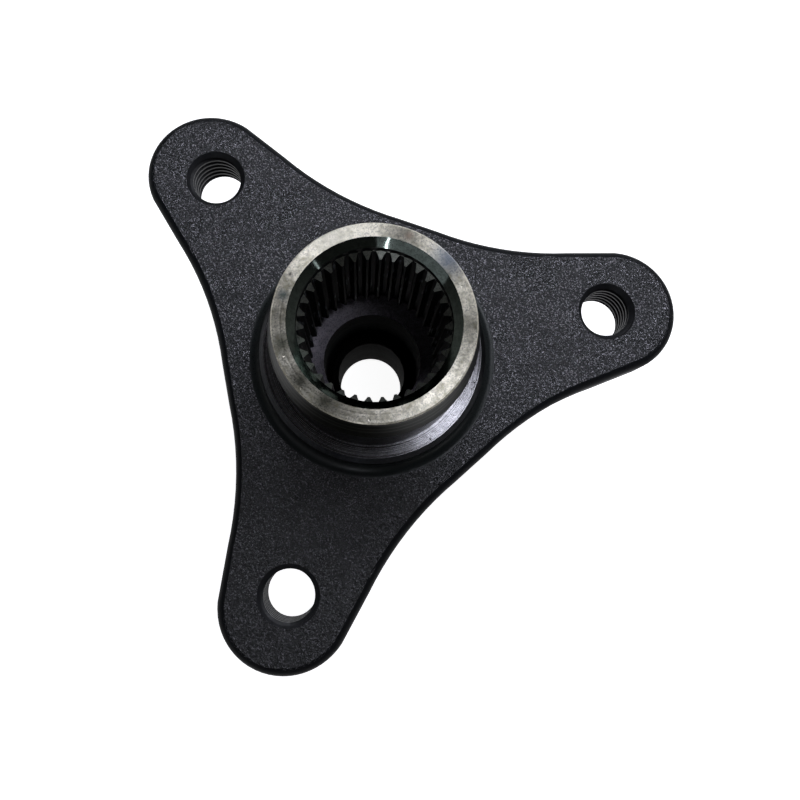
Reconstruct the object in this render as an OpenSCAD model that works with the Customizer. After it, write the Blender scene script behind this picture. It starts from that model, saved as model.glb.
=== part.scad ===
// Differential flange: a forged three-arm drive flange with a splined hub.
// The hub points up (+Z). The origin is on the axis, in the plane of the seat
// pads that the flexible coupling is bolted against, and an arm lies along +X.

/* [Arms] */
// Diameter of the circle through the three tapped holes
bolt_circle_d = 105; // [96:0.5:115]
// Thickness of an arm from its seat pad to its upper face
arm_t = 10; // [8:0.5:14]
// Radius of an arm's round end
arm_end_r = 13.7; // [12:0.1:15]
// How far the centre of the round end lies outside the hole
arm_end_shift = 2.1; // [0:0.1:3]
// Slope of an arm's flank away from the arm's centreline, in degrees
flank_slope = 10.2; // [4:0.2:14]
// Distance from the axis to the straight edge between two arms
waist_r = 31.8; // [30:0.1:34]
// Radius of the hollow curve between a flank and the straight edge
hollow_r = 69.6; // [30:0.2:80]
// Width of the rounded rim on the upper edge
upper_rim = 1.8; // [0.5:0.1:3]
// Width of the rounded rim on the lower edge
lower_rim = 1.2; // [0.4:0.1:2]

/* [Tapped holes] */
// Tapping diameter for an M12 x 1.5 thread
tap_d = 10.5; // [8:0.1:12]
// Width of the chamfer at the mouth in an arm's upper face
tap_chamfer = 1.1; // [0.2:0.1:1.5]
// Width of the chamfer at the mouth in a seat pad
seat_chamfer = 0.5; // [0.2:0.1:1]
// Diameter of the seat pad under each hole
pad_d = 24.6; // [20:0.2:25]
// How far a seat pad stands out of the forged face
pad_h = 1; // [0.4:0.1:2]

/* [Hub] */
// Height of the hub above the arms
hub_h = 26.7; // [22:0.1:32]
// Diameter of the seal's running surface
seal_d = 39.5; // [38:0.1:42]
// Diameter of the hub at its end face
nose_d = 36.6; // [34:0.1:37]
// Length of the taper that opens the seal's lip
nose_l = 7.4; // [3:0.1:10]
// Edge break around the end face
nose_break = 0.3; // [0.1:0.1:0.6]
// Diameter of the turned collar at the hub's foot
collar_d = 47; // [45:0.2:49]
// Height of the collar's face above the arms
collar_h = 5; // [4:0.1:8]
// Width of the chamfer on the collar
collar_chamfer = 1; // [0.4:0.1:1.5]
// Radius of the hollow curve from the collar to the arms
foot_r = 2.6; // [1:0.1:3]

/* [Spline] */
// Number of teeth
spline_teeth = 34; // [24:1:40]
// Module of the teeth
spline_module = 0.8; // [0.6:0.05:0.85]
// Pressure angle of the flanks, in degrees
pressure_angle = 30; // [25:1:35]
// Depth of a tooth inside the pitch circle, in modules
tooth_addendum = 0.95; // [0.6:0.05:1.1]
// Depth of a tooth outside the pitch circle, in modules
tooth_dedendum = 0.5; // [0.4:0.05:0.6]
// Depth of the tooth ends below the hub's end face
spline_recess = 2.85; // [2:0.05:5]
// Length of the toothed stretch
spline_l = 25.3; // [18:0.1:27]

/* [Bores] */
// Width of the chamfer at the hub's mouth
mouth_chamfer = 1.5; // [0.5:0.1:2]
// Gap between the spline's roots and the smooth bore above them
root_gap = 0.1; // [0.05:0.05:0.4]
// Depth of the runout groove outside the spline's roots
groove_depth = 0.8; // [0.3:0.1:1.5]
// Width of the runout groove
groove_w = 3; // [1.5:0.1:5]
// Diameter of the bore behind the spline
core_d = 21.6; // [19:0.1:23]
// Slope of the shoulder between groove and bore, in degrees
shoulder_slope = 29.6; // [10:0.2:45]

/* [Spigot] */
// Length of the spigot below the seat pads
spigot_l = 31.5; // [25:0.5:36]
// Diameter of the spigot at its end
spigot_d = 30; // [28:0.2:34]
// Draft of the forged spigot, in degrees
spigot_draft = 3; // [0.5:0.5:5]
// Radius of the hollow curve from the spigot to the arms
spigot_foot_r = 5; // [2:0.5:7]
// Chamfer on the spigot's end
spigot_chamfer = 1.5; // [0.5:0.1:2]

/* [Centring bush] */
// Diameter of the bush's own bore
bush_bore_d = 16.1; // [14:0.1:18]
// Length of the bush
bush_l = 18.5; // [10:0.5:20]
// How far the bush sits inside the spigot's end
bush_recess = 0.5; // [0.2:0.1:2]
// Radial gap drawn for the press fit
bush_gap = 0.01; // [0.01:0.01:0.05]
// Chamfer on the bush's outer edges
bush_chamfer = 1.4; // [0.4:0.1:2]
// Chamfer in the bush's bore
bush_bore_chamfer = 0.4; // [0.2:0.1:0.8]

/* [Hidden] */
$fn = 120;

// How far a cutting shape runs past the face that it opens
over = 1;
// How far neighbouring curves bite into each other, so that they cross cleanly
bite = 0.05;
arm_count = 3;
arm_step = 360 / arm_count;

// Heights
arm_top = arm_t;
arm_bottom = pad_h;
hub_top = arm_top + hub_h;
collar_top = arm_top + collar_h;
spline_top = hub_top - spline_recess;
spline_bottom = spline_top - spline_l;
groove_bottom = spline_bottom - groove_w;
spigot_end = -spigot_l;
bush_bottom = spigot_end + bush_recess;

// Spline circles
pitch_r = spline_module * spline_teeth / 2;
base_r = pitch_r * cos(pressure_angle);
tip_r = pitch_r - tooth_addendum * spline_module;
root_r = pitch_r + tooth_dedendum * spline_module;
flank_steps = 3;

// Bores
entry_r = root_r + root_gap;
groove_r = root_r + groove_depth;
core_r = core_d / 2;
shoulder_bottom = groove_bottom - (groove_r - core_r) * tan(shoulder_slope);

// Outline of the arms, seen from above, for the arm along +X
hole_x = bolt_circle_d / 2;
arm_end = [hole_x + arm_end_shift, 0];
flank_normal = [sin(flank_slope), cos(flank_slope)];
waist_normal = [cos(arm_step / 2), sin(arm_step / 2)];
flank_dist = flank_normal * arm_end + arm_end_r;
// The hollow curve touches the flank and the straight edge, so its centre
// lies hollow_r outside both lines
hollow_center = line_meeting(flank_normal, flank_dist + hollow_r, waist_normal, waist_r + hollow_r);
flank_run = [flank_normal.y, -flank_normal.x];
flank_outer = arm_end + arm_end_r * flank_normal;
flank_inner = hollow_center - hollow_r * flank_normal;
waist_end = hollow_center - hollow_r * waist_normal;

// Point where the lines a * p = da and b * p = db meet
function line_meeting(a, da, b, db) =
    [da * b.y - db * a.y, db * a.x - da * b.x] / (a.x * b.y - a.y * b.x);

function mirrored(p) = [p.x, -p.y];

function turned(p, a) = [p.x * cos(a) - p.y * sin(a), p.x * sin(a) + p.y * cos(a)];

// Angle from a tangent point to well past the place where a curve of radius
// r + bite crosses the line that a curve of radius r would only touch
function crossing(r) = 2 * acos(r / (r + bite));

// Involute of an angle in degrees, given in degrees
function involute(a) = tan(a) * 180 / PI - a;

// Half of a tooth space's angle at radius r, in degrees
function half_space(r) =
    90 / spline_teeth + involute(pressure_angle) - involute(acos(base_r / r));

function polar(r, a) = r * [cos(a), sin(a)];

module each_arm() {
    for (i = [0 : arm_count - 1])
        rotate(i * arm_step) children();
}

module both_sides() {
    children();
    mirror([0, 1, 0]) children();
}

// Outline of the three arms: straight flanks and edges first, then the round
// ends and the hollow curves are cut into them
module arms_outline() {
    end_x = arm_end.x + arm_end_r + over;
    flank_far = flank_outer + (end_x - flank_outer.x) / flank_run.x * flank_run;
    upper = [flank_far, flank_inner, waist_end];
    lower = [for (i = [len(upper) - 1 : -1 : 0]) mirrored(upper[i])];
    difference() {
        polygon([
            for (i = [0 : arm_count - 1]) for (p = concat(lower, upper)) turned(p, i * arm_step)
        ]);
        each_arm() {
            difference() {
                translate([flank_outer.x, -arm_end_r - over]) square([end_x, 2 * (arm_end_r + over)]);
                translate(arm_end) circle(arm_end_r + bite);
            }
            both_sides() translate(hollow_center) circle(hollow_r + bite, $fn = 360);
        }
    }
}

// Section of what a rounded rim takes away. X points out of the arm and the
// corner lies at the origin. The arc meets both faces at a slight angle.
module rim_section(w) {
    lift = w / 6;
    difference() {
        translate([-w - lift, -w - lift]) square(w + lift + over);
        translate([-w - lift, -w - lift]) circle(norm([w + lift, lift]));
    }
}

// The rim's section drawn from point a to point b, with the arm on the right
module rim_line(w, a, b) {
    run = b - a;
    translate(a) rotate([90, 0, 90 + atan2(run.y, run.x)])
        linear_extrude(norm(run)) rim_section(w);
}

// What the rounded rim takes away all round one arm, at the height z = 0
module rim_cut(w) {
    end_angle = 90 - flank_slope;
    hollow_angle = end_angle - arm_step / 2;
    waist_middle = waist_r * waist_normal;
    rim_line(w, 2 * waist_middle - waist_end, waist_end);
    both_sides() {
        rim_line(w, flank_inner, flank_outer + arm_end_r * tan(crossing(arm_end_r)) * flank_run);
        translate(hollow_center) rotate(180 + arm_step / 2 - crossing(hollow_r))
            rotate_extrude(angle = hollow_angle + 2 * crossing(hollow_r), $fn = 360)
                translate([hollow_r + bite, 0]) mirror([1, 0]) rim_section(w);
    }
    translate(arm_end) rotate(-end_angle)
        rotate_extrude(angle = 2 * end_angle) translate([arm_end_r + bite, 0]) rim_section(w);
}

// Three flat arms with rounded rims and a round seat pad under each hole
module arms() {
    difference() {
        translate([0, 0, arm_bottom]) linear_extrude(arm_top - arm_bottom) arms_outline();
        translate([0, 0, arm_top]) each_arm() rim_cut(upper_rim);
        translate([0, 0, arm_bottom]) mirror([0, 0, 1]) each_arm() rim_cut(lower_rim);
    }
    each_arm() translate([hole_x, 0, 0]) cylinder(d = pad_d, h = arm_bottom + over);
}

// Section of a hollow corner of radius r at the origin, opening to +X and +Y.
// It reaches past both faces that it joins.
module hollow_section(r) {
    lift = r / 8;
    difference() {
        translate([-over, -over]) square(r + lift + over);
        translate([r + lift, r + lift]) circle(norm([r + lift, lift]));
    }
}

// Outside of the hub, its collar and the spigot below
module hub_outside() {
    seal_r = seal_d / 2;
    nose_r = nose_d / 2;
    collar_r = collar_d / 2;
    end_r = spigot_d / 2;
    spigot_root_r = end_r + (arm_bottom - spigot_end) * tan(spigot_draft);
    rotate_extrude() {
        polygon([
            [0, spigot_end],
            [end_r - spigot_chamfer, spigot_end],
            [end_r, spigot_end + spigot_chamfer],
            [spigot_root_r, arm_bottom],
            [spigot_root_r, arm_bottom + over],
            [collar_r, arm_bottom + over],
            [collar_r, collar_top - collar_chamfer],
            [collar_r - collar_chamfer, collar_top],
            [seal_r, collar_top],
            [seal_r, hub_top - nose_l],
            [nose_r, hub_top - nose_break],
            [nose_r - nose_break, hub_top],
            [0, hub_top]
        ]);
        translate([collar_r, arm_top]) hollow_section(foot_r);
        translate([spigot_root_r, arm_bottom]) mirror([0, 1]) hollow_section(spigot_foot_r);
    }
}

// One space between two teeth, with involute flanks, centred on +X
module tooth_space() {
    radii = [for (i = [0 : flank_steps]) tip_r + (root_r - tip_r) * i / flank_steps];
    inside = polar(tip_r - over / 2, half_space(tip_r));
    upper = concat([inside], [for (r = radii) polar(r, half_space(r))]);
    lower = [for (i = [len(upper) - 1 : -1 : 0]) mirrored(upper[i])];
    polygon(concat(lower, upper));
}

// The toothed stretch, as the space that the splined shaft fills. A tooth lies
// on the arm's centreline, so the first space lies half a pitch beside it.
module spline_space() {
    pitch = 360 / spline_teeth;
    translate([0, 0, spline_bottom - over]) linear_extrude(spline_l + over) {
        circle(tip_r);
        for (i = [0 : spline_teeth - 1])
            rotate((i + 0.5) * pitch) tooth_space();
    }
}

// Chamfered mouth, smooth entry and bevelled tooth ends above the spline;
// runout groove, sloping shoulder and core bore below it
module round_bores() {
    top = hub_top + over;
    bevel_r = tip_r - over;
    bevel_z = spline_top - (entry_r - bevel_r);
    rotate_extrude() {
        polygon([
            [0, bevel_z],
            [bevel_r, bevel_z],
            [entry_r, spline_top],
            [entry_r, hub_top - mouth_chamfer],
            [entry_r + mouth_chamfer + over, top],
            [0, top]
        ]);
        polygon([
            [0, spline_bottom],
            [groove_r, spline_bottom],
            [groove_r, groove_bottom],
            [core_r, shoulder_bottom],
            [core_r, spigot_end - over],
            [0, spigot_end - over]
        ]);
    }
}

// A tapping hole from the seat pad to the arm's upper face, chamfered at both mouths
module tapped_hole() {
    tap_r = tap_d / 2;
    rotate_extrude() polygon([
        [0, -over],
        [tap_r + seat_chamfer + over, -over],
        [tap_r, seat_chamfer],
        [tap_r, arm_top - tap_chamfer],
        [tap_r + tap_chamfer + over, arm_top + over],
        [0, arm_top + over]
    ]);
}

module flange_forging() {
    color("#3a3a3e") difference() {
        union() {
            arms();
            hub_outside();
        }
        round_bores();
        spline_space();
        each_arm() translate([hole_x, 0, 0]) tapped_hole();
    }
}

// Steel bush pressed into the spigot from below
module centring_bush() {
    outer_r = core_r - bush_gap;
    inner_r = bush_bore_d / 2;
    bush_top = bush_bottom + bush_l;
    color("#8d8c90") rotate_extrude() polygon([
        [inner_r, bush_bottom + bush_bore_chamfer],
        [inner_r + bush_bore_chamfer, bush_bottom],
        [outer_r - bush_bore_chamfer, bush_bottom],
        [outer_r, bush_bottom + bush_bore_chamfer],
        [outer_r, bush_top - bush_chamfer],
        [outer_r - bush_chamfer, bush_top],
        [inner_r + bush_bore_chamfer, bush_top],
        [inner_r, bush_top - bush_bore_chamfer]
    ]);
}

flange_forging();
centring_bush();
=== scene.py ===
"""Looks of the forged differential flange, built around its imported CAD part."""

import math
import bmesh
import bpy
from mathutils import Matrix, Vector


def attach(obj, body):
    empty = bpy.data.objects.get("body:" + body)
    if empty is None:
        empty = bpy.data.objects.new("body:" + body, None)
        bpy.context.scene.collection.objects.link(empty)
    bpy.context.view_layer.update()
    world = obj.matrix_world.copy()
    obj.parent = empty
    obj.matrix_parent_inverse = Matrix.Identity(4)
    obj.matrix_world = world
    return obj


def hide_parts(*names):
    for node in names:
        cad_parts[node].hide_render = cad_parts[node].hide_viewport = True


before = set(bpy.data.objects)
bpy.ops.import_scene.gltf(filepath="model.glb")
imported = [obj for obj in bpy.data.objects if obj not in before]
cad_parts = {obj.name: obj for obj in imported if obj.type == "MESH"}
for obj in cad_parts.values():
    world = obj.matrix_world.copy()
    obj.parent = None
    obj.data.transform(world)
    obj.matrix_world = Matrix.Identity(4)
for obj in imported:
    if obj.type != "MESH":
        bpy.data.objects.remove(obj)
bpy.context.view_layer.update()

MM = 0.001

# Sizes of the part that the looks follow, as in the CAD
BOLT_CIRCLE_R = 52.5 * MM
ARM_COUNT = 3
UNDERSIDE = 1 * MM
ARM_TOP = 10 * MM
COLLAR_TOP = 15 * MM
COLLAR_R = 23.5 * MM
COLLAR_CHAMFER = 1 * MM
FOOT_R = 2.6 * MM
SEAL_R = 19.75 * MM
NOSE_FOOT = 29.3 * MM
HUB_TOP = 36.7 * MM
NOSE_BREAK = 0.3 * MM
MOUTH_R = 15.6 * MM
ENTRY_TOP = 35.2 * MM
ENTRY_R = 14.1 * MM
SPLINE_TOP = 33.85 * MM
SPLINE_BOTTOM = 8.55 * MM
SPLINE_ROOT_R = 14.0 * MM
GROOVE_R = 14.8 * MM
GROOVE_BOTTOM = 5.55 * MM
SHOULDER_FOOT = -1 * MM
CORE_R = 10.8 * MM
SPIGOT_END = -31.5 * MM
TAP_R = 5.25 * MM
TAP_MOUTH_R = 6.35 * MM
# Just inside the places where the arms' edge comes nearest to the axis
FLANK_R = 28.8 * MM

HOLES = [
    Vector((BOLT_CIRCLE_R * math.cos(a), BOLT_CIRCLE_R * math.sin(a), 0))
    for a in (2 * math.pi * i / ARM_COUNT for i in range(ARM_COUNT))
]

# The M12 x 1.5 thread that the looks cut into the tapped holes
THREAD_PITCH = 1.5 * MM
THREAD_R = 6.0 * MM
THREAD_FLANK = math.radians(30)

# Small dents that handling has left, on the end face and on the collar, in millimetres
DENTS = [
    (-16.6, -3.2, 36.7), (-14.8, -9.3, 36.7), (-4.4, -16.9, 36.7), (16.4, 3.4, 36.7),
    (17.5, -0.6, 36.7),
    (19.0, -10.8, 15), (17.5, -11.0, 15), (18.2, -12.0, 15), (7.7, -20.4, 15),
]
DENT_BALL_R = 0.45 * MM
DENT_DEPTH = 0.1 * MM

# Points nearer than this are one point
SAME_POINT = 0.001 * MM
# Places are put in order in steps of this
SORT_STEP = 0.0001 * MM
# How far a face's middle may lie past the line that bounds its zone
SLACK = 0.05 * MM
# Limits of how level a face is, from 0 for an upright wall to 1 for a flat top
WALL = 0.1
SLOPING = 0.3
HALFWAY = 0.5
FLAT = 0.9
DEAD_FLAT = 0.97
# Edges that turn by more than this are sharp; a dent's rim on a flat face is sharp too
CREASE = math.radians(35)
DENTED_CREASE = math.radians(20)


def colour(hex_code):
    """A linear colour from an sRGB hex code."""
    parts = [int(hex_code[i : i + 2], 16) / 255 for i in (1, 3, 5)]
    return [c / 12.92 if c < 0.04045 else ((c + 0.055) / 1.055) ** 2.4 for c in parts] + [1.0]


def add(tree, kind, inputs=None, **settings):
    """Adds a node. Each input is a plain value or the socket that feeds it."""
    node = tree.nodes.new(kind)
    for name, value in settings.items():
        setattr(node, name, value)
    for key, value in (inputs or {}).items():
        if isinstance(value, bpy.types.NodeSocket):
            tree.links.new(value, node.inputs[key])
        else:
            node.inputs[key].default_value = value
    return node


def per_metre(size_mm):
    """Texture scale at which one grain or line is size_mm wide."""
    return 1 / (size_mm * MM)


def new_material(name):
    """An empty material and its node tree."""
    material = bpy.data.materials.new(name)
    material.use_nodes = True
    material.node_tree.nodes.clear()
    return material, material.node_tree


def close_material(tree, shader):
    """Makes the shader the material's surface."""
    add(tree, "ShaderNodeOutputMaterial", {"Surface": shader.outputs[0]})


# Camera, as calibrated on the photograph's circles, with its turn in degrees
CAMERA_PLACE = Vector((-8.366, -31.302, 152.024)) * MM
CAMERA_TURN = (9.0412, -3.1194, -11.529)
CAMERA_LENS = 30.586
CAMERA_SENSOR = 36
CAMERA_NEAR = 0.005

camera_data = bpy.data.cameras.new("camera")
camera_data.sensor_width = CAMERA_SENSOR
camera_data.lens = CAMERA_LENS
camera_data.clip_start = CAMERA_NEAR
camera = bpy.data.objects.new("camera", camera_data)
camera.location = CAMERA_PLACE
camera.rotation_euler = [math.radians(a) for a in CAMERA_TURN]
bpy.context.scene.collection.objects.link(camera)
bpy.context.scene.camera = camera


# Sizes of the patterns, in millimetres. The render's pixel is about 0.2 mm on the
# arms, so what is finer on the real part is drawn as coarse as it needs to show:
# shot-blast grain (0.1 to 0.2 on the part), its bare peaks, and the pores of steel.
GRAIN = 0.28
SHOT_DENT = 0.48
GRIT = 0.26
PORE = 0.3
# Oil stains, streaks along the teeth and changes of the coat's gloss have their real size
STAIN = 1.2
STREAK = 0.8
PATCH = 9
# Turning and grinding leave lines 0.05 to 0.2 apart, which are drawn coarser too
GROUND_LINE = 0.3
TURNED_LINE = 0.32
FINE_LINE = 0.2
BORED_LINE = 0.4
EDGE_LINE = 0.5
MILLED_LINE = 0.6
# The lead-in's lines, which the camera sees edge on, are the coarsest
LEAD_IN_LINE = 1.4

# The levels of each noise between which its pattern comes in
BARE_GRAINS = {"From Min": 0.56, "From Max": 0.68}
STAINED = {"From Min": 0.45, "From Max": 0.64}
IN_A_LINE = {"From Min": 0.42, "From Max": 0.58}
IN_A_PORE = {"From Min": 0.35, "From Max": 0.55}
BARE_LINE = {"From Min": 0.52, "From Max": 0.6}
BARE_STREAK = {"From Min": 0.62, "From Max": 0.72}
UNEVEN = {"From Min": 0.3, "From Max": 0.7}

# Painted shade on one arm: its coat is painted blacker and shows the fewest bare
# grains. A place near its tip in millimetres, the distance from it at which the
# painted shade starts to fade and is gone, and how much of the bare grain shows in it
SHADED_ARM = (-24, -50, 10)
SHADE_REACH = {"From Min": 30 * MM, "From Max": 58 * MM}
SHADED_FLECKS = 0.4
# How far the roughness varies: the coat's by this much from patch to patch, and
# turned steel's by this fraction of itself from line to line
COAT_GLOSS_SPREAD = 0.04
LINE_GLOSS_SPREAD = 0.2

# Heights are scaled by this, so that a streak is about eight times as long as wide
STREAK_STRETCH = 0.12
# How far a pore darkens the steel, and to what colour
PORE_DEPTH = 0.5
PORE_COLOUR = "#1c1b18"
# A tint fades out between these parts of its reach
TINT_CORE, TINT_EDGE = 0.6, 1.5
# Metallic sheen that stays between the bare lines of an oiled surface
COVERED_SHEEN = 0.05
# A quarter turn, so that the highlight spreads across the lines
ACROSS = 0.25


def forged_coat(name, base, shade_colour, fleck, roughness, grain_height, specular=0.5):
    """Shot-blasted steel forging under a thin black coat: a fine rough grain
    that glints where a grain faces the light, and pale specks where the coat
    has rubbed through. Near one arm's tip the coat is painted blacker and shows
    fewer specks, as painted shade. The height of the grain is in millimetres."""
    material, tree = new_material(name)
    place = add(tree, "ShaderNodeTexCoord").outputs["Object"]
    grain = add(
        tree, "ShaderNodeTexNoise",
        {"Vector": place, "Scale": per_metre(GRAIN), "Detail": 3, "Roughness": 0.7},
    )
    shot_dents = add(
        tree, "ShaderNodeTexVoronoi",
        {"Vector": place, "Scale": per_metre(SHOT_DENT)}, feature="SMOOTH_F1",
    )
    relief = add(
        tree, "ShaderNodeMath",
        {0: grain.outputs["Fac"], 1: shot_dents.outputs["Distance"]}, operation="ADD",
    )
    bump = add(
        tree, "ShaderNodeBump",
        {"Strength": 1.0, "Distance": grain_height * MM, "Height": relief.outputs[0]},
    )
    patches = add(
        tree, "ShaderNodeTexNoise", {"Vector": place, "Scale": per_metre(PATCH), "Detail": 2},
    )
    gloss = add(
        tree, "ShaderNodeMapRange",
        {"Value": patches.outputs["Fac"], **UNEVEN,
         "To Min": roughness - COAT_GLOSS_SPREAD, "To Max": roughness + COAT_GLOSS_SPREAD},
    )
    grit = add(
        tree, "ShaderNodeTexNoise", {"Vector": place, "Scale": per_metre(GRIT), "Detail": 1},
    )
    flecks = add(tree, "ShaderNodeMapRange", {"Value": grit.outputs["Fac"], **BARE_GRAINS})
    # Painted shade: near one arm's tip the coat is painted blacker and shows fewer bare
    # specks
    from_shaded_arm = add(
        tree, "ShaderNodeVectorMath",
        {0: place, 1: Vector(SHADED_ARM) * MM}, operation="DISTANCE",
    )
    out_of_shade = add(
        tree, "ShaderNodeMapRange", {"Value": from_shaded_arm.outputs["Value"], **SHADE_REACH},
    )
    coat = add(
        tree, "ShaderNodeMix",
        {"Factor": out_of_shade.outputs[0], 6: colour(shade_colour), 7: colour(base)}, data_type="RGBA",
    )
    shade_fleck_share = add(
        tree, "ShaderNodeMapRange",
        {"Value": out_of_shade.outputs[0], "To Min": SHADED_FLECKS, "To Max": 1.0},
    )
    bare = add(
        tree, "ShaderNodeMath",
        {0: flecks.outputs[0], 1: shade_fleck_share.outputs[0]}, operation="MULTIPLY",
    )
    tone = add(
        tree, "ShaderNodeMix",
        {"Factor": bare.outputs[0], 6: coat.outputs[2], 7: colour(fleck)}, data_type="RGBA",
    )
    shader = add(
        tree, "ShaderNodeBsdfPrincipled",
        {"Base Color": tone.outputs[2], "Metallic": bare.outputs[0],
         "Roughness": gloss.outputs[0], "Normal": bump.outputs[0],
         "Specular IOR Level": specular},
    )
    close_material(tree, shader)
    return material


def turned_steel(
    name, base, stain, roughness, line_mm, line_height, anisotropy,
    tints_and_shade=(), metallic=1.0, specular=0.5, line_shade=0.0, bare_lines=False,
):
    """Lathe-turned or ground steel: fine lines run round the axis, so a
    highlight spreads across them. A tint is a place, a radius, a colour and
    how strongly it colours the steel there; one such patch is painted shade
    that dims a highlight. Blackened steel, and a recess painted near black as
    shade, has no metallic sheen, except for a few bare lines if it is asked
    for. The lines' width and height are in millimetres."""
    material, tree = new_material(name)
    place = add(tree, "ShaderNodeTexCoord").outputs["Object"]
    xyz = add(tree, "ShaderNodeSeparateXYZ", {"Vector": place})
    flat = add(
        tree, "ShaderNodeCombineXYZ", {"X": xyz.outputs["X"], "Y": xyz.outputs["Y"]},
    )
    radius = add(tree, "ShaderNodeVectorMath", {0: flat.outputs[0]}, operation="LENGTH")
    # It changes both across a flat face and along a cylinder
    along = add(
        tree, "ShaderNodeMath",
        {0: radius.outputs["Value"], 1: xyz.outputs["Z"]}, operation="SUBTRACT",
    )
    lines = add(
        tree, "ShaderNodeTexNoise",
        {"W": along.outputs[0], "Scale": per_metre(line_mm), "Detail": 2, "Roughness": 0.6},
        noise_dimensions="1D",
    )
    round_way = add(
        tree, "ShaderNodeVectorMath", {0: (0, 0, 1), 1: flat.outputs[0]},
        operation="CROSS_PRODUCT",
    )
    tangent = add(
        tree, "ShaderNodeVectorMath", {0: round_way.outputs[0]}, operation="NORMALIZE",
    )
    patches = add(
        tree, "ShaderNodeTexNoise",
        {"Vector": place, "Scale": per_metre(STAIN), "Detail": 5, "Roughness": 0.72},
    )
    patch = add(tree, "ShaderNodeMapRange", {"Value": patches.outputs["Fac"], **STAINED})
    tone = add(
        tree, "ShaderNodeMix",
        {"Factor": patch.outputs[0], 6: colour(base), 7: colour(stain)}, data_type="RGBA",
    ).outputs[2]
    shade = add(
        tree, "ShaderNodeMapRange",
        {"Value": lines.outputs["Fac"], **IN_A_LINE, "To Min": line_shade, "To Max": 0.0},
    )
    tone = add(
        tree, "ShaderNodeMix",
        {"Factor": shade.outputs[0], 6: tone, 7: colour("#000000")}, data_type="RGBA",
    ).outputs[2]
    pores = add(
        tree, "ShaderNodeTexNoise", {"Vector": place, "Scale": per_metre(PORE), "Detail": 2},
    )
    pore = add(
        tree, "ShaderNodeMapRange",
        {"Value": pores.outputs["Fac"], **IN_A_PORE, "To Min": PORE_DEPTH, "To Max": 0.0},
    )
    tone = add(
        tree, "ShaderNodeMix",
        {"Factor": pore.outputs[0], 6: tone, 7: colour(PORE_COLOUR)}, data_type="RGBA",
    ).outputs[2]
    for middle, reach, tint, strength in tints_and_shade:
        away = add(
            tree, "ShaderNodeVectorMath",
            {0: place, 1: Vector(middle) * MM}, operation="DISTANCE",
        )
        ragged = add(
            tree, "ShaderNodeMath",
            {0: patches.outputs["Fac"], 1: reach * MM, 2: away.outputs["Value"]},
            operation="MULTIPLY_ADD",
        )
        spread = add(
            tree, "ShaderNodeMapRange",
            {"Value": ragged.outputs[0],
             "From Min": TINT_CORE * reach * MM, "From Max": TINT_EDGE * reach * MM,
             "To Min": strength, "To Max": 0.0},
        )
        tone = add(
            tree, "ShaderNodeMix",
            {"Factor": spread.outputs[0], 6: tone, 7: colour(tint)}, data_type="RGBA",
        ).outputs[2]
    gloss = add(
        tree, "ShaderNodeMapRange",
        {"Value": lines.outputs["Fac"], **UNEVEN,
         "To Min": roughness * (1 - LINE_GLOSS_SPREAD),
         "To Max": roughness * (1 + LINE_GLOSS_SPREAD)},
    )
    bump = add(
        tree, "ShaderNodeBump",
        {"Strength": 1.0, "Distance": line_height * MM, "Height": lines.outputs["Fac"]},
    )
    if bare_lines:
        metallic = add(
            tree, "ShaderNodeMapRange",
            {"Value": lines.outputs["Fac"], **BARE_LINE,
             "To Min": COVERED_SHEEN, "To Max": metallic},
        ).outputs[0]
    shader = add(
        tree, "ShaderNodeBsdfPrincipled",
        {"Base Color": tone, "Metallic": metallic, "Roughness": gloss.outputs[0],
         "Anisotropic": anisotropy, "Anisotropic Rotation": ACROSS,
         "Tangent": tangent.outputs[0], "Normal": bump.outputs[0],
         "Specular IOR Level": specular},
    )
    close_material(tree, shader)
    return material


def broached_steel(name, base, streak, roughness, specular):
    """Blackened spline teeth with bare streaks that the mating shaft and the
    broach have drawn along them."""
    material, tree = new_material(name)
    place = add(tree, "ShaderNodeTexCoord").outputs["Object"]
    drawn = add(
        tree, "ShaderNodeVectorMath",
        {0: place, 1: (1, 1, STREAK_STRETCH)}, operation="MULTIPLY",
    )
    scrapes = add(
        tree, "ShaderNodeTexNoise",
        {"Vector": drawn.outputs[0], "Scale": per_metre(STREAK), "Detail": 3},
    )
    bare = add(tree, "ShaderNodeMapRange", {"Value": scrapes.outputs["Fac"], **BARE_STREAK})
    tone = add(
        tree, "ShaderNodeMix",
        {"Factor": bare.outputs[0], 6: colour(base), 7: colour(streak)}, data_type="RGBA",
    )
    shader = add(
        tree, "ShaderNodeBsdfPrincipled",
        {"Base Color": tone.outputs[2], "Metallic": bare.outputs[0],
         "Roughness": roughness, "Specular IOR Level": specular},
    )
    close_material(tree, shader)
    return material


# Tints on the ground end face, each with its place and reach in millimetres, its
# colour and strength: a broad pale patch that is painted shade, dimming the upper left
# highlight fan; one rust spot; blue-grey and teal patches; a small dark spot; and dark
# olive patches on the lower left
RING_TINTS_AND_SHADE = [
    # A pale patch that is painted shade, dimming the upper left highlight fan
    ((-4.3, 16.2, 36.7), 7.0, "#c4c0b4", 0.6),
    ((9.0, 14.3, 36.7), 1.1, "#a87f63", 0.45),
    ((15.1, 8.7, 36.7), 4.5, "#5f6d80", 0.8),
    ((-14.9, 7.6, 36.7), 1.4, "#4f6468", 0.8),
    ((-16.6, -1.0, 36.7), 2.8, "#4a4d40", 0.85),
    ((-14.6, -8.0, 36.7), 3.4, "#2f3128", 0.9),
    ((-11.2, -12.2, 36.7), 4.4, "#33352a", 0.9),
    ((-13.05, 11.1, 36.7), 0.5, "#2c2d2c", 0.9),
]

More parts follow.
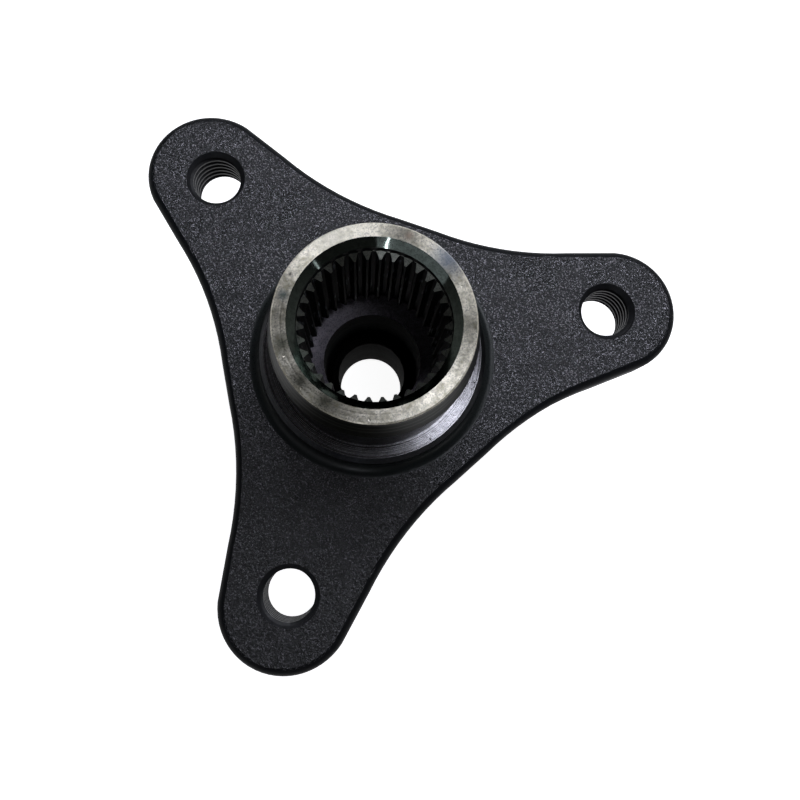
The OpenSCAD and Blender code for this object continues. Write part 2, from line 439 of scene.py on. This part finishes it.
LOOKS = {
    # Forged steel, shot-blasted and thinly blackened: a dark grey that sparkles, near black
    # on one arm as painted shade
    "arm": forged_coat(
        "black_coated_forging", "#121417", "#050607", "#959399", 0.27, 0.2),
    # The trimmed flank round the arms: smoother and matt, it draws a black outline
    "rim": forged_coat(
        "black_coated_flank", "#0e1013", "#0a0b0d", "#15171b", 0.6, 0.02, 0.12),
    # The same forging below, with darker specks: a soft black grain
    "underside": forged_coat(
        "black_coated_underside", "#121417", "#0a0b0d", "#4a4b4f", 0.32, 0.15, 0.3),
    # The fillet turned under the collar, then coated: smooth, dark and faintly green
    "foot": forged_coat(
        "black_coated_turned_foot", "#1b1f1f", "#111515", "#262a2a", 0.34, 0.004, 0.35),
    # Bare steel ground flat: the palest face, whose light runs in two broad fans
    "ring": turned_steel(
        "ground_end_face", "#efe9da", "#aaa592", 0.35, GROUND_LINE, 0.0008, 0.92, RING_TINTS_AND_SHADE),
    # The turned lead-in under old oil: near black, with a few bright rings
    "taper": turned_steel(
        "oiled_lead_in", "#262620", "#1a1a17", 0.35, LEAD_IN_LINE, 0.01, 0.0,
        metallic=0.6, specular=0.03, line_shade=0.9, bare_lines=True),
    # The blackened, polished seal surface: deep black with hardly a gleam
    "seal": turned_steel(
        "black_seal_surface", "#08080a", "#060607", 0.3, FINE_LINE, 0.0002, 0.0,
        metallic=0.0, specular=0.04),
    # The collar's bare turned face: fine rings in one bright fan, dark elsewhere
    "collar": turned_steel(
        "turned_collar_face", "#dcdadf", "#bab8be", 0.27, TURNED_LINE, 0.006, 0.92,
        line_shade=0.6),
    # The collar's turned edge: a dark metal that catches one thin line of light
    "collar_edge": turned_steel(
        "turned_collar_edge", "#2e2f32", "#242528", 0.35, EDGE_LINE, 0.001, 0.5),
    # The polished mouth cone: a greenish mirror with crisp narrow glints
    "cone": turned_steel("mouth_cone", "#87928a", "#747f77", 0.1, GROUND_LINE, 0.0, 0.0),
    # The recess above the teeth: near black as painted shade, a black gap that sets off the
    # teeth
    "entry": turned_steel(
        "entry_bore_painted_shade", "#0c0d0e", "#08090a", 0.5, BORED_LINE, 0.001, 0.0,
        metallic=0.0, specular=0.1),
    # The turned tooth ends: small bare grey facets
    "tooth_end": turned_steel(
        "tooth_ends", "#9da097", "#80837e", 0.3, BORED_LINE, 0.001, 0.3),
    # The broached and blackened teeth: black with silvery streaks along them
    "spline": broached_steel("broached_spline", "#08090b", "#6d727c", 0.6, 0.06),
    # The blackened run-out groove: matt black
    # The run-out groove under the teeth: matt black, as painted shade for the shadow there
    "groove": turned_steel(
        "runout_groove_painted_shade", "#14161c", "#101218", 0.5, BORED_LINE, 0.001, 0.0,
        metallic=0.0, specular=0.2),
    # The shoulder that the pinion nut bears on: bare satin steel, dim in the bore
    "shoulder": turned_steel(
        "bore_shoulder", "#9a959e", "#858088", 0.45, GROUND_LINE, 0.001, 0.5),
    # The core bore: the darkest wall, near black as painted shade deep in the bore, with a
    # faint blue that is a painted reflection
    "core": turned_steel(
        "core_bore_painted_shade", "#0a0c16", "#070910", 0.8, BORED_LINE, 0.001, 0.0,
        metallic=0.0, specular=0.03),
    # The cut thread under oil: dark ridges with thin soft gleams
    "thread": turned_steel(
        "oiled_cut_thread", "#202124", "#18191b", 0.45, GROUND_LINE, 0.0, 0.0,
        metallic=0.0, specular=0.25),
    # The milled seat pads and the spigot's turned end: bare grey steel with a satin sheen
    "pad": turned_steel(
        "milled_seat_pad", "#9b9c9f", "#84858a", 0.35, MILLED_LINE, 0.001, 0.4),
    "spigot_end": turned_steel(
        "turned_spigot_end", "#9b9c9f", "#84858a", 0.35, MILLED_LINE, 0.001, 0.5),
}
ZONES = list(LOOKS)
# The zones that one black coat covers, with no crisp edge between them
COATED = {"arm", "foot", "rim", "underside"}


def zone_of(centre, normal):
    """The zone of the forging that a face belongs to, by its place and the way it faces."""
    r = math.hypot(centre.x, centre.y)
    hole_r = min(math.hypot(centre.x - h.x, centre.y - h.y) for h in HOLES)
    level = abs(normal.z)
    if hole_r < TAP_MOUTH_R + SLACK and level < FLAT:
        return "thread"
    if r < CORE_R + SLACK and level < WALL:
        return "core"
    if centre.z < SPIGOT_END + SLACK:
        return "spigot_end"
    if r < GROOVE_R and SHOULDER_FOOT < centre.z < GROOVE_BOTTOM:
        return "shoulder"
    if r < GROOVE_R + SLACK and GROOVE_BOTTOM - SLACK < centre.z < SPLINE_BOTTOM + SLACK:
        return "groove"
    if r < SPLINE_ROOT_R + SLACK and SPLINE_BOTTOM < centre.z < SPLINE_TOP:
        return "tooth_end" if normal.z > HALFWAY else "spline"
    if r < ENTRY_R + SLACK and centre.z < ENTRY_TOP:
        return "entry"
    on_end_face = centre.z > HUB_TOP - NOSE_BREAK - SLACK and r > MOUTH_R - SLACK
    if on_end_face and normal.z > SLOPING:
        return "ring"
    if r < MOUTH_R and centre.z > ENTRY_TOP - SLACK:
        return "cone"
    if centre.z > NOSE_FOOT and r < SEAL_R:
        return "taper"
    if r < SEAL_R + SLACK and centre.z > COLLAR_TOP:
        return "seal"
    on_collar = SEAL_R < r < COLLAR_R - COLLAR_CHAMFER
    if on_collar and abs(centre.z - COLLAR_TOP) < DENT_DEPTH + SLACK:
        return "collar"
    if r < COLLAR_R + SLACK and centre.z > COLLAR_TOP - COLLAR_CHAMFER - SLACK:
        return "collar_edge"
    if r < COLLAR_R + FOOT_R + SLACK and centre.z > ARM_TOP - SLACK:
        return "foot"
    if centre.z < SLACK and normal.z < -FLAT:
        return "pad"
    if centre.z < UNDERSIDE + SLACK:
        return "underside"
    if r > FLANK_R and level < DEAD_FLAT:
        return "rim"
    return "arm"


def mesh_object(name, bm):
    """Turns a bmesh into an object in the scene."""
    mesh = bpy.data.meshes.new(name)
    bm.to_mesh(mesh)
    bm.free()
    piece = bpy.data.objects.new(name, mesh)
    bpy.context.scene.collection.objects.link(piece)
    return piece


def apply_modifiers(piece):
    """Makes the modifiers' result the piece's own mesh."""
    depsgraph = bpy.context.evaluated_depsgraph_get()
    made = bpy.data.meshes.new_from_object(piece.evaluated_get(depsgraph))
    piece.modifiers.clear()
    old = piece.data
    piece.data = made
    bpy.data.meshes.remove(old)


# This count keeps the thread ridge's corners off the hole wall's own corners
TAP_STEPS = 47
TAP_TURNS = 18
TAP_TURNS_BELOW = 6
# The core keeps clear of the hole's wall, so that only the ridge cuts it
TAP_CLEARANCE = 0.25 * MM
# How far the tap's flat ends stand out of the arm
TAP_OVERRUN = 3.1 * MM
# A point this near the plane that cuts an end off lies on it
ON_THE_PLANE = 1e-9


def thread_tap():
    """A tap's shape: a core with one helical ridge, cut off flat below and above the arm."""
    core_r = TAP_R - TAP_CLEARANCE
    # The flat crest of a metric thread is an eighth of its pitch
    crest = THREAD_PITCH / 8
    flank = (THREAD_R - core_r) * math.tan(THREAD_FLANK)
    land = THREAD_PITCH - crest - 2 * flank
    bm = bmesh.new()
    outline = []
    z = -TAP_TURNS_BELOW * THREAD_PITCH
    for _ in range(TAP_TURNS):
        outline += [(core_r, z), (core_r, z + land)]
        outline += [(THREAD_R, z + land + flank), (THREAD_R, z + land + flank + crest)]
        z += THREAD_PITCH
    outline.append((core_r, z))
    verts = [bm.verts.new((x, 0, h)) for x, h in outline]
    edges = [bm.edges.new(pair) for pair in zip(verts, verts[1:])]
    bmesh.ops.spin(
        bm, geom=verts + edges, cent=(0, 0, 0), axis=(0, 0, 1),
        dvec=(0, 0, THREAD_PITCH / TAP_STEPS), angle=2 * math.pi, steps=TAP_STEPS,
        use_merge=False, use_duplicate=False,
    )
    bmesh.ops.remove_doubles(bm, verts=bm.verts, dist=SAME_POINT)
    for height, outward in ((-TAP_OVERRUN, -1), (ARM_TOP + TAP_OVERRUN, 1)):
        bmesh.ops.bisect_plane(
            bm, geom=bm.verts[:] + bm.edges[:] + bm.faces[:], dist=ON_THE_PLANE,
            plane_co=(0, 0, height), plane_no=(0, 0, outward), clear_outer=True,
        )
        rim = [
            e for e in bm.edges
            if e.is_boundary and all(abs(v.co.z - height) < SAME_POINT for v in e.verts)
        ]
        bmesh.ops.holes_fill(bm, edges=rim, sides=0)
    bmesh.ops.recalc_face_normals(bm, faces=bm.faces)
    bmesh.ops.triangulate(bm, faces=bm.faces)
    return bm


def dent_balls():
    """Balls that sink a little into the faces where the dents are."""
    bm = bmesh.new()
    for dent in DENTS:
        middle = Vector(dent) * MM + Vector((0, 0, DENT_BALL_R - DENT_DEPTH))
        bmesh.ops.create_icosphere(
            bm, subdivisions=3, radius=DENT_BALL_R, matrix=Matrix.Translation(middle),
        )
    return bm


def tapped_forging():
    """A merged copy of the forging's CAD mesh, with real threads cut into its
    three holes and small dents in its bare faces."""
    bm = bmesh.new()
    bm.from_mesh(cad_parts["flange_forging"].data)
    bmesh.ops.remove_doubles(bm, verts=bm.verts, dist=SAME_POINT)
    for f in bm.faces:
        f.material_index = 0
    piece = mesh_object("tapped_forging", bm)
    cutters = [dent_balls()]
    for hole in HOLES:
        tap = thread_tap()
        bmesh.ops.translate(tap, verts=tap.verts, vec=hole)
        cutters.append(tap)
    tools = [mesh_object(f"cutter_{i}", cutter) for i, cutter in enumerate(cutters)]
    for tool in tools:
        cut = piece.modifiers.new("cut", "BOOLEAN")
        cut.operation = "DIFFERENCE"
        cut.solver = "EXACT"
        cut.object = tool
    apply_modifiers(piece)
    for tool in tools:
        bpy.data.objects.remove(tool)
    return piece


def sort_by_place(elements, place):
    """Puts a mesh's vertices, edges or faces in an order that only their places set."""
    def key(element):
        return tuple(round(c / SORT_STEP) for c in place(element))
    rank = {element: i for i, element in enumerate(sorted(elements, key=key))}
    elements.sort(key=lambda element: rank[element])


def finish_forging(piece):
    """Gives each zone its material, and crisp edges between zones."""
    piece.data.materials.clear()
    for zone in ZONES:
        piece.data.materials.append(LOOKS[zone])
    bm = bmesh.new()
    bm.from_mesh(piece.data)
    # The cut leaves vertices and faces in an order that varies from run to run
    sort_by_place(bm.verts, lambda v: v.co)
    sort_by_place(bm.edges, lambda e: (e.verts[0].co + e.verts[1].co) / 2)
    sort_by_place(bm.faces, lambda f: f.calc_center_median())
    for f in bm.faces:
        f.smooth = True
        f.material_index = ZONES.index(zone_of(f.calc_center_median(), f.normal))
    for e in bm.edges:
        if len(e.link_faces) == 2:
            a, b = e.link_faces
            turn = a.normal.angle(b.normal, 0)
            zones = {ZONES[a.material_index], ZONES[b.material_index]}
            crease = DENTED_CREASE if zones & {"ring", "collar"} else CREASE
            e.smooth = turn < crease and (zones <= COATED or len(zones) == 1)
    bm.to_mesh(piece.data)
    bm.free()
    weighted = piece.modifiers.new("face_normals", "WEIGHTED_NORMAL")
    weighted.keep_sharp = True


forging = tapped_forging()
finish_forging(forging)
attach(forging, "root")
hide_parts("flange_forging")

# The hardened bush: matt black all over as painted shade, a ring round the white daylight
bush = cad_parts["centring_bush"]
bush.data.materials.clear()
bush.data.materials.append(turned_steel(
    "bush_painted_shade", "#070708", "#050506", 0.8, BORED_LINE, 0.0005, 0.0,
    metallic=0.0, specular=0.02))


# Floor, world and lamps

FLOOR_HALF = 0.4
# Below the spigot's end by this, so that the two don't share a plane
FLOOR_GAP = 0.02 * MM
FLOOR_GLOW = 0.95


def floor_material():
    """Matt white card. To the camera and in reflections it shows white, with
    the object's soft shadow kept where the light on it adds nothing. From
    below it is clear, so that the flange's underside can be looked at."""
    material, tree = new_material("white_card")
    rays = add(tree, "ShaderNodeLightPath")
    seen = rays.outputs["Is Camera Ray"]
    for way in ("Is Glossy Ray", "Is Transmission Ray"):
        seen = add(
            tree, "ShaderNodeMath", {0: seen, 1: rays.outputs[way]}, operation="MAXIMUM",
        ).outputs[0]
    card = add(tree, "ShaderNodeBsdfDiffuse", {"Color": colour("#e6e6e6")})
    glow = add(
        tree, "ShaderNodeEmission", {"Color": colour("#ffffff"), "Strength": FLOOR_GLOW},
    )
    lit = add(tree, "ShaderNodeAddShader", {0: card.outputs[0], 1: glow.outputs[0]})
    front = add(
        tree, "ShaderNodeMixShader", {0: seen, 1: card.outputs[0], 2: lit.outputs[0]},
    )
    back = add(tree, "ShaderNodeNewGeometry").outputs["Backfacing"]
    clear = add(tree, "ShaderNodeBsdfTransparent")
    shader = add(
        tree, "ShaderNodeMixShader", {0: back, 1: front.outputs[0], 2: clear.outputs[0]},
    )
    close_material(tree, shader)
    return material


bm = bmesh.new()
bmesh.ops.create_grid(bm, x_segments=1, y_segments=1, size=FLOOR_HALF)
bmesh.ops.translate(bm, verts=bm.verts, vec=(0, 0, SPIGOT_END - FLOOR_GAP))
floor = mesh_object("floor", bm)
floor.data.materials.append(floor_material())

# The studio's own light: faint overhead, a little stronger near the horizon, and
# white to the camera. It dims between these heights, of which 0 is the horizon and
# 1 is overhead
DIMS_FROM, DIMS_TO = 0.06, 0.3
HORIZON_LIGHT, OVERHEAD_LIGHT = 0.12, 0.02

world = bpy.data.worlds.new("studio")
bpy.context.scene.world = world
world.use_nodes = True
world.node_tree.nodes.clear()
towards = add(world.node_tree, "ShaderNodeTexCoord").outputs["Generated"]
height = add(world.node_tree, "ShaderNodeSeparateXYZ", {"Vector": towards}).outputs["Z"]
backdrop = add(
    world.node_tree, "ShaderNodeMapRange",
    {"Value": height, "From Min": DIMS_FROM, "From Max": DIMS_TO,
     "To Min": HORIZON_LIGHT, "To Max": OVERHEAD_LIGHT},
)
rays = add(world.node_tree, "ShaderNodeLightPath")
level = add(
    world.node_tree, "ShaderNodeMath",
    {0: backdrop.outputs[0], 1: rays.outputs["Is Camera Ray"]}, operation="MAXIMUM",
)
sky = add(
    world.node_tree, "ShaderNodeBackground",
    {"Color": colour("#ffffff"), "Strength": level.outputs[0]},
)
add(world.node_tree, "ShaderNodeOutputWorld", {"Surface": sky.outputs[0]})


LAMP_DISTANCE = 0.7
# Slightly cool, as the photograph's bare metal is
LAMP_COLOUR = (0.88, 0.91, 1.0)
# The side of the square lamps
SOFTBOX = 0.16


def lamp(name, azimuth, elevation, power, width=SOFTBOX, height=SOFTBOX):
    """A soft lamp that faces the flange from the given direction, in degrees."""
    data = bpy.data.lights.new(name, "AREA")
    data.shape = "RECTANGLE"
    data.size = width
    data.size_y = height
    data.energy = power
    data.color = LAMP_COLOUR
    lamp_object = bpy.data.objects.new(name, data)
    turn = (
        Matrix.Rotation(math.radians(azimuth), 3, "Z")
        @ Matrix.Rotation(math.radians(-elevation), 3, "Y")
    )
    towards_lamp = turn @ Vector((1, 0, 0))
    lamp_object.location = towards_lamp * LAMP_DISTANCE
    lamp_object.rotation_euler = towards_lamp.to_track_quat("Z", "Y").to_euler()
    bpy.context.scene.collection.objects.link(lamp_object)


lamp("overhead_lamp", -7, 75.5, 0.5)
lamp("back_left_lamp", 101, 54.8, 0.47)
lamp("back_lamp", 82, 45, 0.85)
lamp("right_back_lamp", 27, 48, 0.65)
lamp("right_lamp", -6, 49, 0.34)
lamp("far_right_lamp", 51, 42, 0.9)
# A low wide light that fills the hub's shaded side
lamp("low_left_lamp", 222, 20, 0.24, width=0.9, height=0.3)
# Two narrow ones that the mouth cone mirrors as glints
lamp("front_glint", 249, 22.1, 0.12, width=0.015, height=0.1)
lamp("side_glint", 316, 16.9, 0.012, width=0.02, height=0.1)

bpy.context.scene.view_settings.view_transform = "Standard"
